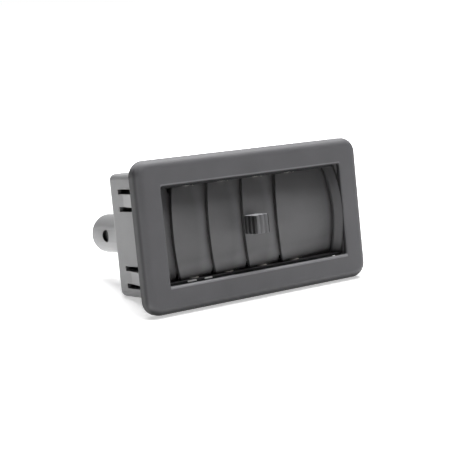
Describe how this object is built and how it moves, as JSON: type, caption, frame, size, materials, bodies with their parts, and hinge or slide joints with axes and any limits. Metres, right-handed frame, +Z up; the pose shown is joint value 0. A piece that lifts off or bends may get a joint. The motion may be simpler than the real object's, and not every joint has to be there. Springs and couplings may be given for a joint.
{
  "type": "defrost vent",
  "caption": "Rectangular dashboard air outlet with a rounded bezel, deep snap-in housing, rear hose spigot, tilting barrel and linked bowed shutter vanes turned by a thumb grip.",
  "frame": {"origin": "centre of the bezel's rear seating plane, which lies on the panel's face", "axes": "+X to the right as seen from the front, -Y out of the panel towards the viewer, +Y into the panel, +Z up"},
  "size_m": [0.127, 0.0878, 0.07],
  "materials": {
    "dark_plastic": "fine textured charcoal moulding",
    "grey_plastic": "smooth grey moulding",
    "black_plastic": "satin black moulding",
    "vane_plastic": "fine textured charcoal moulding",
    "grip_plastic": "satin ridged moulding",
    "natural_nylon": "natural nylon, satin",
    "felt": "black felt",
    "rubber": "matte black elastomer"
  },
  "bodies": {
    "case": {"bezel": "dark_plastic", "housing": "grey_plastic", "hose_spigot": "grey_plastic", "upper_seal_strip": "felt", "lower_seal_strip": "felt", "left_friction_washer": "rubber", "right_friction_washer": "rubber"},
    "barrel": {"barrel_upper_rail": "black_plastic", "barrel_lower_rail": "black_plastic", "barrel_left_cap": "black_plastic", "barrel_right_cap": "black_plastic", "upper_vane_bushes": "natural_nylon", "lower_vane_bushes": "natural_nylon"},
    "vane_1": {"vane_1": "vane_plastic"},
    "vane_2": {"vane_2": "vane_plastic"},
    "vane_3": {"vane_3": "vane_plastic", "thumb_grip": "grip_plastic"},
    "vane_4": {"vane_4": "vane_plastic"},
    "tie_bar": {"tie_bar": "black_plastic"}
  },
  "joints": [
    {"name": "barrel_tilt", "type": "hinge", "parent": "case", "child": "barrel", "pos_m": [0, 0.0022, 0], "axis": [1, 0, 0], "range_deg": [-15, 15]},
    {"name": "vane_1_turn", "type": "hinge", "parent": "barrel", "child": "vane_1", "pos_m": [-0.0336, 0.0022, 0], "axis": [0, 0, 1], "range_deg": [0, 120]},
    {"name": "vane_2_turn", "type": "hinge", "parent": "barrel", "child": "vane_2", "pos_m": [-0.0141, 0.0022, 0], "axis": [0, 0, 1], "range_deg": [0, 120]},
    {"name": "vane_3_turn", "type": "hinge", "parent": "barrel", "child": "vane_3", "pos_m": [0.0054, 0.0022, 0], "axis": [0, 0, 1], "range_deg": [0, 120]},
    {"name": "vane_4_turn", "type": "hinge", "parent": "barrel", "child": "vane_4", "pos_m": [0.0249, 0.0022, 0], "axis": [0, 0, 1], "range_deg": [0, 120]},
    {"name": "tie_bar_link", "type": "hinge", "parent": "vane_1", "child": "tie_bar", "pos_m": [-0.01657, 0.00711, -0.0193], "axis": [0, 0, 1], "range_deg": [-120, 0]}
  ],
  "couplings": [
    {"joint": "vane_1_turn", "follows": "vane_3_turn", "ratio": 1},
    {"joint": "vane_2_turn", "follows": "vane_3_turn", "ratio": 1},
    {"joint": "vane_4_turn", "follows": "vane_3_turn", "ratio": 1},
    {"joint": "tie_bar_link", "follows": "vane_3_turn", "ratio": -1}
  ]
}
